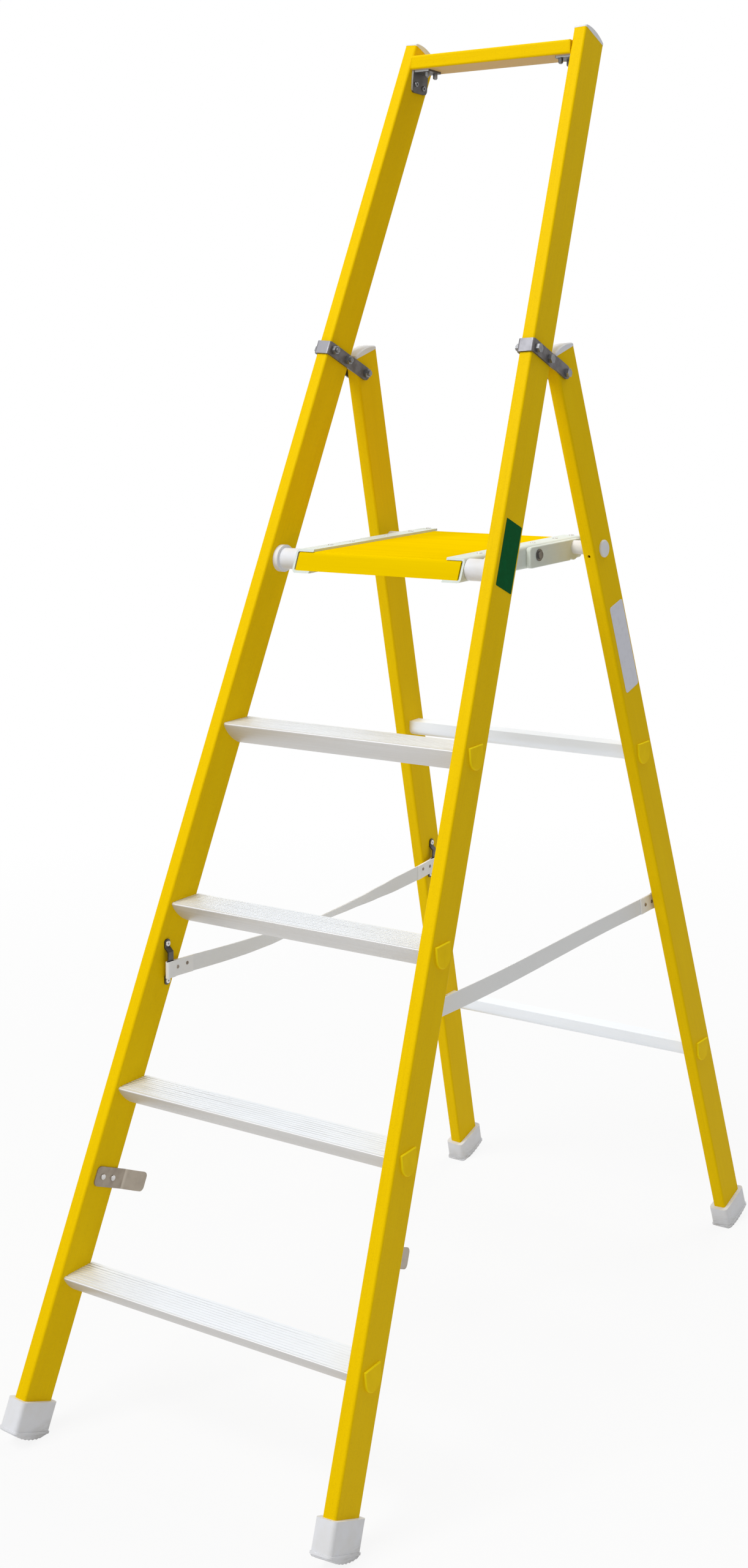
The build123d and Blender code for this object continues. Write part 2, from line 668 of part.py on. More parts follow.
def build():
    nodes = {}

    def pair(name, right):
        nodes[name + "_right"] = right
        nodes[name + "_left"] = mirrored(right)

    pair("front_stile", front_stile())
    pair("rear_stile", rear_stile())
    nodes["front_stile_caps"] = both([end_cap(STILE_F, FRONT_TOP)])
    nodes["rear_stile_caps"] = both([end_cap(STILE_B, REAR_TOP)])
    for i, z in enumerate(step_heights()):
        nodes[f"step_{i + 1}"] = step(z)
    nodes["step_plugs"] = both([plug(z, True) for z in step_heights()])
    nodes["cross_bar_lower"] = cross_bar(BAR_LOW)
    nodes["cross_bar_upper"] = cross_bar(BAR_HIGH)
    nodes["cross_bar_plugs"] = both([plug(z, False) for z in (BAR_LOW, BAR_HIGH)])
    pair("front_boot", front_boot())
    pair("rear_boot", rear_boot())
    nodes["top_rail"] = top_rail()
    pair("rail_bracket", rail_bracket())
    pair("hinge_strap", hinge_strap())
    nodes["strap_bolts"] = both([strap_bolt(-STRAP_BOLT_OFF), strap_bolt(STRAP_BOLT_OFF)])
    nodes["hinge_pivots"] = both([strap_bolt(HINGE_BACK)])
    pair("platform_channel", channel())
    nodes["deck"] = deck()
    nodes["pivot_rod"] = pivot_rod()
    pair("pivot_bush", bush())
    pair("rear_tube", rear_tube())
    nodes["rear_tube_caps"] = both([tube_cap()])
    pair("link_arm", link_arm())
    nodes["link_bolts"] = both([arm_bolt()])
    nodes["front_loops"] = both([bridge_loop(STILE_F, LOOP_FRONT_Y, LOOP_FRONT_Z)])
    nodes["rear_loops"] = both([bridge_loop(STILE_B, LOOP_REAR_Y, LOOP_REAR_Z)])
    pair("stay", stay())
    pair("fold_clip", fold_clip())
    return nodes


os.makedirs("parts", exist_ok=True)
for name, shape in build().items():
    export_step(shape, f"parts/{name}.step")
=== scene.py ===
import json
from math import atan, cos, pi, radians, sin, tan

import bpy
from mathutils import Euler, Matrix, Vector

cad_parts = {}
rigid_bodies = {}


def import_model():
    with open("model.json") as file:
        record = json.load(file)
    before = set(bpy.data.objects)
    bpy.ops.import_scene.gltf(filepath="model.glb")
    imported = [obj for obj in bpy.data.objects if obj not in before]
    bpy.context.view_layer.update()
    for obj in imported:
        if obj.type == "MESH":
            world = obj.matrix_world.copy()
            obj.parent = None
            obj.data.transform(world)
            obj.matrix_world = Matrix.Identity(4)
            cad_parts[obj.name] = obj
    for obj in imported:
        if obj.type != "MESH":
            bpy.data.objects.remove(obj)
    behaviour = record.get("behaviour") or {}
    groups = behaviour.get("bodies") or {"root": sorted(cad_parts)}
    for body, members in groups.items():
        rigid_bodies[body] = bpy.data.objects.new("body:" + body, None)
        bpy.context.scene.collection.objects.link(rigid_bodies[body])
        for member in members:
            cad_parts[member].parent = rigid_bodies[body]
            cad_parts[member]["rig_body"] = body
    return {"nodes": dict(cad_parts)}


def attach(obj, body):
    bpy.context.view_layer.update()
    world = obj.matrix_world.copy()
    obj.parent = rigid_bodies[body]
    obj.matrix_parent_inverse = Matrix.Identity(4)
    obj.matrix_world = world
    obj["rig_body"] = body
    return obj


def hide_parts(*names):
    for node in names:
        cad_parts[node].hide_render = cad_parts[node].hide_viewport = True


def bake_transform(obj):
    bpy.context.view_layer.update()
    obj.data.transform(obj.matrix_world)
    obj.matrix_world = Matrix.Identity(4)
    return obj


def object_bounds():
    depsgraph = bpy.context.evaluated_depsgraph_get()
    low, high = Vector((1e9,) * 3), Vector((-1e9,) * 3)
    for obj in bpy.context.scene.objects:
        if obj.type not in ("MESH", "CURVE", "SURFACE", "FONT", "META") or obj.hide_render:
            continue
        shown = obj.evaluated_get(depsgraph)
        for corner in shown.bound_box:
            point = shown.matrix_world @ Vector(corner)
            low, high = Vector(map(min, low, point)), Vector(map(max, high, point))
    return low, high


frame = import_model()
nodes = frame["nodes"]
cad_box = [list(corner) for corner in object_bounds()]


# Stiles and guard rail
# Five lengths of one pultruded box section, glass fibre drawn through yellow polyester.
# Rovings run along each length under a speckled gauze veil; the rail's underside is painted tan as its
# shade.
FRONT_LEAN = radians(24.7)
REAR_LEAN = radians(15.7)
FRONT_TOE = atan(0.0571)
REAR_TOE = atan(0.0615667)
FRONT_LINE = -0.59526
REAR_LINE = 0.58923
HALF_SPREAD = 0.274
STILE_W = 0.021
STILE_D = 0.058
FIBREGLASS = (0.90, 0.595, 0.0, 1)
FIBREGLASS_DEEP = (0.74, 0.465, 0.0, 1)
FIBREGLASS_PALE = (0.95, 0.665, 0.002, 1)
RAIL_UNDERSIDE_SHADE = (0.68, 0.46, 0.19, 1)


class Shade:
    """A value that varies over a finish; sums on it add Math nodes to that finish."""

    def __init__(self, tree, socket=None):
        self.tree = tree
        self.socket = socket

    def node(self, kind, settings, sockets, out=0):
        made = self.tree.nodes.new("ShaderNode" + kind)
        for name, value in settings.items():
            setattr(made, name, value)
        for name, value in sockets.items():
            if isinstance(value, Shade):
                self.tree.links.new(value.socket, made.inputs[name])
            else:
                made.inputs[name].default_value = value
        return Shade(self.tree, made.outputs[out])

    def math(self, operation, a, b):
        return self.node("Math", {"operation": operation}, {0: a, 1: b})

    def __add__(self, other):
        return self.math("ADD", self, other)

    __radd__ = __add__

    def __sub__(self, other):
        return self.math("SUBTRACT", self, other)

    def __rsub__(self, other):
        return self.math("SUBTRACT", other, self)

    def __mul__(self, other):
        return self.math("MULTIPLY", self, other)

    __rmul__ = __mul__


def finish(name, roughness, metallic=0.0, **constants):
    """A new finish with its plain values set, its shader, and a Shade to start sums from."""
    material = bpy.data.materials.new(name)
    material.use_nodes = True
    shader = material.node_tree.nodes["Principled BSDF"]
    shader.inputs["Roughness"].default_value = roughness
    shader.inputs["Metallic"].default_value = metallic
    for socket, value in constants.items():
        shader.inputs[socket.replace("_", " ")].default_value = value
    return material, shader, Shade(material.node_tree)


def feed(shader, socket, shade):
    """Links a shade to one of the shader's sockets."""
    shade.tree.links.new(shade.socket, shader.inputs[socket])


def along(start, turn, scale):
    """Object coordinates turned into a piece's own directions and stretched."""
    place = start.node("TexCoord", {}, {}, out="Object")
    place = start.node("Mapping", {"vector_type": "POINT"}, {"Vector": place, "Rotation": turn})
    return start.node("VectorMath", {"operation": "MULTIPLY"}, {0: place, 1: scale})


def grain(place, detail=2.0, rough=0.5):
    """Cloudy variation from 0 to 1 at the scale of the coordinates given."""
    sockets = {"Vector": place, "Scale": 1.0, "Detail": detail, "Roughness": rough}
    return place.node("TexNoise", {}, sockets, out=0)


def between(shade, low, high):
    """Stretches a part of a shade's range to run from 0 to 1."""
    sockets = {"Value": shade, "From Min": low, "From Max": high}
    return shade.node("MapRange", {"clamp": True}, sockets)


def blend_of(mask, first, second):
    """Two colours mixed by a mask."""
    return mask.node("Mix", {"data_type": "RGBA"}, {0: mask, 6: first, 7: second}, out=2)


def relief(shader, height, depth, strength=1.0, skin=None):
    """Height in parts of a depth in metres, felt as small bumps of the surface or of a smoothed skin."""
    sockets = {"Strength": strength, "Distance": depth, "Height": height}
    if skin:
        sockets["Normal"] = skin
    feed(shader, "Normal", height.node("Bump", {}, sockets))


def facing(start, axis):
    """How far the surface faces along one of the piece's own axes, from -1 to 1."""
    return start.node("SeparateXYZ", {}, {0: start.node("TexCoord", {}, {}, "Normal")}, axis)


def fibreglass(name, turn, under=None):
    """Pultruded yellow section whose rovings run along the turned Z direction."""
    material, shader, start = finish(name, 0.42, Specular_IOR_Level=0.03)
    rovings = grain(along(start, turn, (700, 700, 7)), 3.0, 0.6)
    gauze = grain(along(start, turn, (620, 620, 480)), 2.0, 0.7)
    pooling = grain(along(start, turn, (22, 22, 5)), 2.0)
    specks = between(gauze, 0.52, 0.70)
    streaks = between(rovings, 0.42, 0.72)
    colour = blend_of(specks * 0.42 + streaks * 0.24, FIBREGLASS, FIBREGLASS_DEEP)
    colour = blend_of(between(pooling, 0.48, 0.8) * 0.35, colour, FIBREGLASS_PALE)
    if under:
        # Faces that look down take a tan colour as painted shade.
        colour = blend_of(between(0 - facing(start, 2), 0.80, 0.96), colour, under)
    feed(shader, "Base Color", colour)
    feed(shader, "Roughness", 0.36 + 0.12 * gauze + 0.06 * pooling)
    relief(shader, 0.6 * rovings + 0.4 * gauze, 0.00035, 0.6)
    return material


def stile_place(front, side, out=0.0, back=0.0, up=0.0):
    """Matrix of a spot in a stile: Y towards the stile's rear face, Z up along the stile."""
    lean = -FRONT_LEAN if front else REAR_LEAN
    toe = FRONT_TOE if front else REAR_TOE
    line = FRONT_LINE if front else REAR_LINE
    foot = Matrix.Translation((0, line, 0)) @ Matrix.Rotation(lean, 4, "X")
    foot = foot @ Matrix.Translation((side * HALF_SPREAD, 0, 0))
    return foot @ Matrix.Rotation(-side * toe, 4, "Y") @ Matrix.Translation((side * out, back, up))


def cover(material, *names):
    """Gives CAD nodes one finish all over."""
    for name in names:
        nodes[name].data.materials.clear()
        nodes[name].data.materials.append(material)


for front, end in ((True, "front"), (False, "rear")):
    for side, hand in ((-1, "left"), (1, "right")):
        turn = stile_place(front, side).to_3x3().transposed().to_euler()
        cover(fibreglass(f"fibreglass_{end}_{hand}", turn), f"{end}_stile_{hand}")
rail_yellow = fibreglass("fibreglass_rail", Euler((0, -pi / 2, 0)), RAIL_UNDERSIDE_SHADE)
cover(rail_yellow, "top_rail")


# Caps, boots, bushes and rear tubes
# White polypropylene mouldings pressed into or over the section; the boots carry the wear.
# Mould texture is faint, and the soles of the boots are greyed where they meet the ground.
STRAIGHT = Euler((0, 0, 0))
MOULDED = (0.80, 0.81, 0.845, 1)
MOULDED_WARM = (0.72, 0.71, 0.68, 1)
SOLE_GREY = (0.40, 0.38, 0.34, 1)


def moulded(name, colour, warm, soil=0.0):
    """Matt moulded plastic; soil greys the lowest centimetres."""
    material, shader, start = finish(name, 0.45, Specular_IOR_Level=0.3)
    skin = grain(along(start, STRAIGHT, (900, 900, 900)), 2.0)
    cloud = grain(along(start, STRAIGHT, (40, 40, 40)), 3.0)
    scuffs = grain(along(start, Euler((0.3, 0.2, 0.5)), (60, 60, 420)), 3.0, 0.65)
    tone = blend_of(between(cloud, 0.4, 0.75) * 0.5, colour, warm)
    if soil:
        height = start.node("SeparateXYZ", {}, {0: start.node("TexCoord", {}, {}, "Object")}, 2)
        low = 1 - between(height + 0.012 * cloud, 0.006, 0.030)
        tone = blend_of(low * between(scuffs, 0.35, 0.75) * soil, tone, SOLE_GREY)
    feed(shader, "Base Color", tone)
    feed(shader, "Roughness", 0.36 + 0.10 * skin + 0.12 * between(scuffs, 0.55, 0.75))
    relief(shader, skin, 0.00018, 0.5)
    return material


cap_white = moulded("moulded_white", MOULDED, MOULDED_WARM)
cover(cap_white, "front_stile_caps", "rear_stile_caps", "pivot_bush_left", "pivot_bush_right")
cover(cap_white, "rear_tube_left", "rear_tube_right", "rear_tube_caps")
boot_white = moulded("boot_white", MOULDED, MOULDED_WARM, 0.75)
cover(boot_white, "front_boot_left", "front_boot_right", "rear_boot_left", "rear_boot_right")


# Treads and rear cross bars
# Extruded aluminium left in its pale mill finish, ribbed along the top for grip.
# The die draws fine lines along each length, and feet have rolled the grooves' edges soft.
FIRST_TREAD = 0.224
TREAD_PITCH = 0.250
GROOVE_D = 0.0007
GROOVE_ROLL = 0.9
MILL_BRIGHT = (0.92, 0.955, 1.0, 1)
MILL_GROOVE_LIGHT = (0.94, 0.965, 1.0, 1)
MILL_FLANK_SHADE = (0.63, 0.612, 0.59, 1)
MILL_DULL = (0.82, 0.83, 0.845, 1)


def mill(name, grooved):
    """Extruded aluminium; a grooved tread's flanks are painted darker as shade, and from its groove
    floors down it is painted paler to offset their shade.
    """
    material, shader, start = finish(name, 0.45, 0.5, Specular_IOR_Level=0.3)
    lines = grain(along(start, STRAIGHT, (5, 620, 620)), 2.0)
    bloom = grain(along(start, STRAIGHT, (12, 40, 40)), 3.0, 0.55)
    bright = blend_of(0.25 * between(bloom, 0.5, 0.8) + 0.08 * lines, MILL_BRIGHT, MILL_DULL)
    skin = None
    if grooved:
        height = start.node("SeparateXYZ", {}, {0: start.node("TexCoord", {}, {}, "Object")}, 2)
        level = (height - (FIRST_TREAD - TREAD_PITCH / 2)) * (1 / TREAD_PITCH)
        level = start.node("Math", {"operation": "FRACT"}, {0: level})
        groove = GROOVE_D / TREAD_PITCH
        # From the groove floors down the metal is painted a shade paler than the top, as painted light
        # that offsets the grooves' shade.
        groove_light = 1 - between(level, 0.5 - groove, 0.5 - 0.3 * groove)
        below = 1 - between(level, 0.5 - 3.0 * groove, 0.5 - 1.3 * groove)
        # Faces a few groove depths below a tread's top that do not look up are painted darker as shade.
        flank_shade = below * (1 - between(facing(start, 2), 0.35, 0.9))
        bright = blend_of(groove_light, bright, MILL_GROOVE_LIGHT)
        bright = blend_of(flank_shade, bright, blend_of(0.5 * lines, MILL_FLANK_SHADE, MILL_DULL))
        to_world = {"vector_type": "NORMAL", "convert_from": "OBJECT", "convert_to": "WORLD"}
        upward = start.node("VectorTransform", to_world, {0: (0, 0, 1)})
        own = start.node("NewGeometry", {}, {}, "Normal")
        rolled = GROOVE_ROLL * (1 - below)
        skin = start.node("Mix", {"data_type": "VECTOR"}, {0: rolled, 4: own, 5: upward}, 1)
    feed(shader, "Base Color", bright)
    feed(shader, "Roughness", 0.38 + 0.12 * bloom + 0.08 * lines)
    relief(shader, lines, 0.00008, 0.5, skin)
    return material


cover(mill("mill_tread", True), "step_1", "step_2", "step_3", "step_4")
cover(mill("mill_bar", False), "cross_bar_lower", "cross_bar_upper")


# Tread and cross bar plugs
# Shield shaped covers moulded in yellow to match the stiles, glued over the tube ends.
# Their faces are smoother than the fibreglass, and their rims are painted paler as a highlight.
PLUG_YELLOW = (0.97, 0.665, 0.0, 1)
PLUG_DEEP = (0.88, 0.585, 0.0, 1)
PLUG_RIM_HIGHLIGHT = (1.0, 0.80, 0.008, 1)
plug, shader, start = finish("plug_yellow", 0.4, Specular_IOR_Level=0.03)
skin = grain(along(start, STRAIGHT, (800, 800, 800)), 2.0)
flow = grain(along(start, STRAIGHT, (70, 70, 45)), 3.0)
sideways = facing(start, 0)
# Where the surface turns away from the plug's face, the rim is painted paler as a highlight.
rim = 1 - between(sideways * sideways, 0.45, 0.93)
colour = blend_of(between(flow, 0.4, 0.75) * 0.6, PLUG_YELLOW, PLUG_DEEP)
feed(shader, "Base Color", blend_of(0.95 * rim, colour, PLUG_RIM_HIGHLIGHT))
feed(shader, "Roughness", 0.32 + 0.14 * flow + 0.05 * skin)
relief(shader, skin, 0.00015, 0.5)
cover(plug, "step_plugs", "cross_bar_plugs")


# Platform deck
# Pultruded plank of closed cells laid across the ladder, the same resin without its gloss.
# The webs between its cells show through as faint bands, and shoes have rubbed it smooth.
DECK_YELLOW = (0.845, 0.575, 0.0, 1)
DECK_DEEP = (0.765, 0.505, 0.0, 1)
deck, shader, start = finish("deck_yellow", 0.45, Specular_IOR_Level=0.0)
bands = grain(along(start, STRAIGHT, (2.2, 46, 46)), 2.0)
rovings = grain(along(start, STRAIGHT, (7, 600, 600)), 3.0, 0.6)
gauze = grain(along(start, STRAIGHT, (480, 620, 620)), 2.0, 0.7)
tone = between(bands, 0.38, 0.68) * 0.45 + between(rovings, 0.42, 0.72) * 0.2
tone = tone + between(gauze, 0.55, 0.72) * 0.15
feed(shader, "Base Color", blend_of(tone, DECK_YELLOW, DECK_DEEP))
feed(shader, "Roughness", 0.38 + 0.10 * gauze + 0.08 * bands)
relief(shader, 0.5 * bands + 0.3 * rovings + 0.2 * gauze, 0.00035, 0.6)
cover(deck, "deck")


# Platform channels and link arms
# Cream white pultruded channel and flat bar, cut and drilled, with satin faces.
# The rovings run fore and aft in a deeper tone, and handling has clouded the faces lightly.
CREAM = (0.70, 0.76, 0.71, 1)
CREAM_DEEP = (0.63, 0.655, 0.58, 1)
cream, shader, start = finish("cream_fibreglass", 0.4, Specular_IOR_Level=0.15)
rovings = grain(along(start, Euler((pi / 2, 0, 0)), (520, 520, 8)), 3.0, 0.6)
cloud = grain(along(start, STRAIGHT, (60, 35, 60)), 3.0)
tone = between(rovings, 0.45, 0.75) * 0.3 + between(cloud, 0.5, 0.8) * 0.35
feed(shader, "Base Color", blend_of(tone, CREAM, CREAM_DEEP))
feed(shader, "Roughness", 0.34 + 0.14 * cloud)
relief(shader, rovings, 0.0002, 0.5)
cover(cream, "platform_channel_left", "platform_channel_right", "link_arm_left", "link_arm_right")


# Steel fittings
# Hinge straps and rail brackets pressed from zinc plated sheet, fold clips from bare spring steel.
# The plating is clouded, brushed and dull with age; faces that look forward are painted brighter as a
# highlight, and a clip's tip past its bend is painted paler as one.
ZINC = (0.165, 0.155, 0.16, 1)
ZINC_FRONT_HIGHLIGHT = (0.29, 0.29, 0.32, 1)
ZINC_DULL = (0.12, 0.112, 0.11, 1)
ZINC_DARK = (0.095, 0.088, 0.086, 1)
SPRING = (0.38, 0.325, 0.26, 1)
SPRING_DULL = (0.30, 0.25, 0.20, 1)
SPRING_TIP_HIGHLIGHT = (0.55, 0.49, 0.41, 1)
CLIP_BEND = 0.042
CUT_EDGE_HIGHLIGHT = (0.50, 0.53, 0.57, 1)
BOLT_ZINC = (0.29, 0.295, 0.31, 1)
BOLT_DULL = (0.12, 0.12, 0.125, 1)
OXIDE = (0.115, 0.11, 0.105, 1)
OXIDE_DARK = (0.06, 0.056, 0.052, 1)
BOLT_GREY = (0.20, 0.19, 0.185, 1)
BOLT_GREY_DARK = (0.11, 0.105, 0.10, 1)


def plated(name, bright, dull, rough, metal=1.0, edge=None, tip=None):
    """Sheet steel with a clouded, brushed skin; painted highlights on front faces and on a clip's tip
    past its bend.
    """
    material, shader, start = finish(name, rough, metal, Specular_IOR_Level=0.3)
    cloud = grain(along(start, Euler((0.4, 0.2, 0.1)), (75, 75, 75)), 3.0, 0.55)
    brush = grain(along(start, Euler((FRONT_LEAN, 0, 0)), (1200, 60, 1200)), 2.0)
    age = between(cloud, 0.38, 0.70)
    tone = blend_of(0.7 * age + 0.25 * brush, bright, dull)
    if edge:
        # Faces that look forward are painted in the edge colour as a highlight.
        tone = blend_of(between(0 - facing(start, 1), 0.75, 0.95), tone, edge)
    # A clip's tip past its bend is painted paler as a highlight, brightest in a band just past the bend.
    if tip:
        place = start.node("TexCoord", {}, {}, "Object")
        rearward = (0, cos(FRONT_LEAN), -sin(FRONT_LEAN))
        back = start.node("VectorMath", {"operation": "DOT_PRODUCT"}, {0: place, 1: rearward}, "Value")
        back = back - FRONT_LINE * cos(FRONT_LEAN)
        past = between(back, CLIP_BEND, CLIP_BEND + 0.002)
        bend_glint = past * (1 - between(back, CLIP_BEND + 0.003, CLIP_BEND + 0.007))
        tone = blend_of(0.45 * past + 0.5 * bend_glint, tone, tip)
    feed(shader, "Base Color", tone)
    feed(shader, "Roughness", (rough - 0.06) + 0.14 * age + 0.06 * brush)
    relief(shader, brush, 0.00008, 0.5)
    return material


zinc = plated("zinc_plate", ZINC, ZINC_DARK, 0.42, 0.45, ZINC_FRONT_HIGHLIGHT)
cover(zinc, "hinge_strap_left", "hinge_strap_right")
aged_zinc = plated("aged_zinc", ZINC_DULL, ZINC_DARK, 0.42, 0.45, CUT_EDGE_HIGHLIGHT)
cover(aged_zinc, "rail_bracket_left", "rail_bracket_right")
spring_steel = plated("spring_steel", SPRING, SPRING_DULL, 0.4, 0.5, None, SPRING_TIP_HIGHLIGHT)
cover(spring_steel, "fold_clip_left", "fold_clip_right")
bright_steel = plated("bolt_zinc", BOLT_ZINC, BOLT_DULL, 0.28, 0.7)
cover(bright_steel, "strap_bolts", "hinge_pivots", "pivot_rod")
dark_steel = plated("oxide_steel", OXIDE, OXIDE_DARK, 0.36)
cover(dark_steel, "front_loops", "rear_loops")
grey_steel = plated("link_bolt_steel", BOLT_GREY, BOLT_GREY_DARK, 0.34, 0.7)
cover(grey_steel, "link_bolts")


# Screws of the bridge loops
# Pan head screws, two to each loop, dished round a socket and brighter than the loop.
# They bite through the loop's feet into the stile's inner wall.
LOOP_FRONT_Z = 0.638
LOOP_FRONT_Y = 0.004
LOOP_REAR_Z = 0.630
LOOP_REAR_Y = -0.006
LOOP_FOOT = 0.0285
LOOP_T = 0.002
SCREW_R = 0.0044
SCREW_H = 0.0022
SCREW_RIM = 0.0014
SCREW_SOCKET = 0.0013
SCREW_STEEL = (0.72, 0.71, 0.70, 1)
SCREW_DULL = (0.46, 0.45, 0.44, 1)


def clear():
    """Object mode with nothing selected, so that an operator meets only what is new."""
    if bpy.context.object and bpy.context.object.mode != "OBJECT":
        bpy.ops.object.mode_set(mode="OBJECT")
    bpy.ops.object.select_all(action="DESELECT")


def pick(piece, wanted):
    """Edit mode with only the faces selected whose centre and normal pass a test."""
    bpy.ops.object.mode_set(mode="EDIT")
    bpy.ops.mesh.select_mode(type="FACE")
    bpy.ops.mesh.select_all(action="DESELECT")
    bpy.ops.object.mode_set(mode="OBJECT")
    for face in piece.data.polygons:
        face.select = wanted(face.center, face.normal)
    bpy.ops.object.mode_set(mode="EDIT")


def round_head(radius, height, rim, socket=0.0, sides=24):
    """Fastener head standing on the XY plane, rounded at its rim, sunk in the middle."""
    clear()
    bpy.ops.mesh.primitive_cylinder_add(vertices=sides, radius=radius, depth=2 * height)
    head = bpy.context.object
    pick(head, lambda centre, normal: normal.z > 0.9)
    bpy.ops.mesh.bevel(offset=rim, segments=4, profile=0.6, affect="EDGES")
    if socket:
        pick(head, lambda centre, normal: normal.z > 0.99 and centre.length < 1.2 * height)
        bpy.ops.mesh.inset(thickness=radius - rim - socket, depth=-0.12 * height)
        bpy.ops.mesh.inset(thickness=0.12 * socket, depth=-0.7 * height)
    pick(head, lambda centre, normal: normal.z < -0.9)
    bpy.ops.transform.translate(value=(0, 0, 0.6 * height))
    bpy.ops.object.mode_set(mode="OBJECT")
    bpy.ops.object.shade_smooth_by_angle(angle=radians(40))
    return head


def set_out(model, places, name, body, material):
    """Copies a modelled fastener to each place and joins the copies into one piece of a body."""
    copies = []
    for place in places:
        clear()
        model.select_set(True)
        bpy.context.view_layer.objects.active = model
        bpy.ops.object.duplicate()
        copy = bpy.context.object
        copy.matrix_world = place
        bpy.ops.object.transform_apply(location=True, rotation=True, scale=True)
        copies.append(copy)
    clear()
    bpy.data.objects.remove(model)
    for copy in copies:
        copy.select_set(True)
    bpy.context.view_layer.objects.active = copies[0]
    bpy.ops.object.join()
    piece = bpy.context.object
    piece.name = name
    piece.data.materials.clear()
    piece.data.materials.append(material)
    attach(piece, body)
    return piece


def loop_place(front, side, inward, up):
    """Matrix of a spot on a bridge loop: Z off the stile's inner face, X upright."""
    lean = FRONT_LEAN if front else -REAR_LEAN
    height = LOOP_FRONT_Z if front else LOOP_REAR_Z
    across = LOOP_FRONT_Y if front else LOOP_REAR_Y
    face = stile_place(front, side, -STILE_W / 2, 0, height / cos(lean))
    upright = face @ Matrix.Rotation(lean, 4, "X")
    spot = upright @ Matrix.Translation((-side * inward, across, up))
    return spot @ Matrix.Rotation(-side * pi / 2, 4, "Y")


screw_steel = plated("screw_steel", SCREW_STEEL, SCREW_DULL, 0.32)
for front, end in ((True, "front"), (False, "rear")):
    feet = [(side, up) for side in (-1, 1) for up in (-LOOP_FOOT, LOOP_FOOT)]
    places = [loop_place(front, side, LOOP_T, up) for side, up in feet]
    screw = round_head(SCREW_R, SCREW_H, SCREW_RIM, SCREW_SOCKET)
    set_out(screw, places, f"{end}_loop_screws", f"{end}_frame", screw_steel)


# Rivets of the rail brackets and fold clips
# Hollow rivets through the bracket's leg, two a side, and domed ones through each clip.
# They are set flush against the steel and pull it to the fibreglass wall.
RAIL_Z = 1.93653
RAIL_TILT = radians(4.0)
BRACKET_Y = -0.004
BRACKET_T = 0.003
BRACKET_RIVETS = ((-0.011, -0.020), (0.009, -0.024))
HOLLOW_R = 0.0040
HOLLOW_H = 0.0024
HOLLOW_RIM = 0.0012
HOLLOW_BORE = 0.0018
CLIP_S = 0.384
CLIP_T = 0.002
CLIP_RIVETS = (-0.003, 0.019)
DOME_R = 0.0043
DOME_H = 0.0026
DOME_RIM = 0.0019


def inner_x(y, z):
    """Distance of a front stile's inner face from the ladder's middle."""
    up = (y - FRONT_LINE) * sin(FRONT_LEAN) + z * cos(FRONT_LEAN)
    return HALF_SPREAD - tan(FRONT_TOE) * up - STILE_W / 2 / cos(FRONT_TOE)


rail = Matrix.Translation((0, FRONT_LINE + RAIL_Z * tan(FRONT_LEAN), RAIL_Z))
rail = rail @ Matrix.Rotation(-RAIL_TILT, 4, "X")
places = []
for side in (-1, 1):
    for back, drop in BRACKET_RIVETS:
        spot = rail @ Vector((0, BRACKET_Y + back, drop))
        spot.x = side * (inner_x(spot.y, spot.z) - BRACKET_T)
        face = stile_place(True, side).to_3x3().to_4x4()
        places.append(Matrix.Translation(spot) @ face @ Matrix.Rotation(-side * pi / 2, 4, "Y"))
rivet = round_head(HOLLOW_R, HOLLOW_H, HOLLOW_RIM, HOLLOW_BORE)
set_out(rivet, places, "bracket_rivets", "front_frame", bright_steel)
places = []
for side in (-1, 1):
    for back in CLIP_RIVETS:
        spot = stile_place(True, side, -STILE_W / 2 - CLIP_T, back, CLIP_S)
        places.append(spot @ Matrix.Rotation(-side * pi / 2, 4, "Y"))
rivet = round_head(DOME_R, DOME_H, DOME_RIM)
set_out(rivet, places, "clip_rivets", "front_frame", screw_steel)


# Bolts of the guard rail
# Two bolts a side go down through the rail and the bracket's shelf.
# Their plain rounded ends hang below the shelf, bright where the plating is whole.
RAIL_BOLTS = ((0.0225, -0.016), (0.022, 0.008))
BOLT_R = 0.0036
BOLT_OUT = 0.0085
BOLT_ROUND = 0.0031
end_x = inner_x(FRONT_LINE + RAIL_Z * tan(FRONT_LEAN), RAIL_Z)
places = []
for side in (-1, 1):
    for inward, back in RAIL_BOLTS:
        spot = rail @ Matrix.Translation((side * (end_x - inward), back, -BRACKET_T))
        places.append(spot @ Matrix.Rotation(pi, 4, "X"))
bolt = round_head(BOLT_R, BOLT_OUT, BOLT_ROUND)
set_out(bolt, places, "rail_bolts", "front_frame", bright_steel)


# Packings of the guard rail
# Thin yellow blocks of the rail's own outline that close its two ends.
# They are bonded between the rail and the stiles and take up the gap.
PACKING_T = 0.0012
PACKING_SHY = 0.0004
RAIL_GAP = 0.0015
RAIL_CORNER = 0.0033
clear()
bpy.ops.mesh.primitive_cube_add(size=1)
packing = bpy.context.object
bpy.ops.object.mode_set(mode="EDIT")
bpy.ops.mesh.select_all(action="SELECT")
bpy.ops.transform.resize(value=(PACKING_T, STILE_D - PACKING_SHY, STILE_W - PACKING_SHY))
bpy.ops.mesh.select_mode(type="EDGE")
bpy.ops.mesh.select_all(action="DESELECT")
bpy.ops.object.mode_set(mode="OBJECT")
for edge in packing.data.edges:
    one, other = (packing.data.vertices[i].co for i in edge.vertices)
    edge.select = abs(one.x - other.x) > PACKING_T / 2
bpy.ops.object.mode_set(mode="EDIT")
bpy.ops.mesh.bevel(offset=RAIL_CORNER, segments=5, affect="EDGES")
bpy.ops.object.mode_set(mode="OBJECT")
bpy.ops.object.shade_smooth_by_angle(angle=radians(40))
middle = rail @ Vector((0, 0, STILE_W / 2))
up = ((middle.y - FRONT_LINE) * sin(FRONT_LEAN) + middle.z * cos(FRONT_LEAN)) / cos(FRONT_TOE)
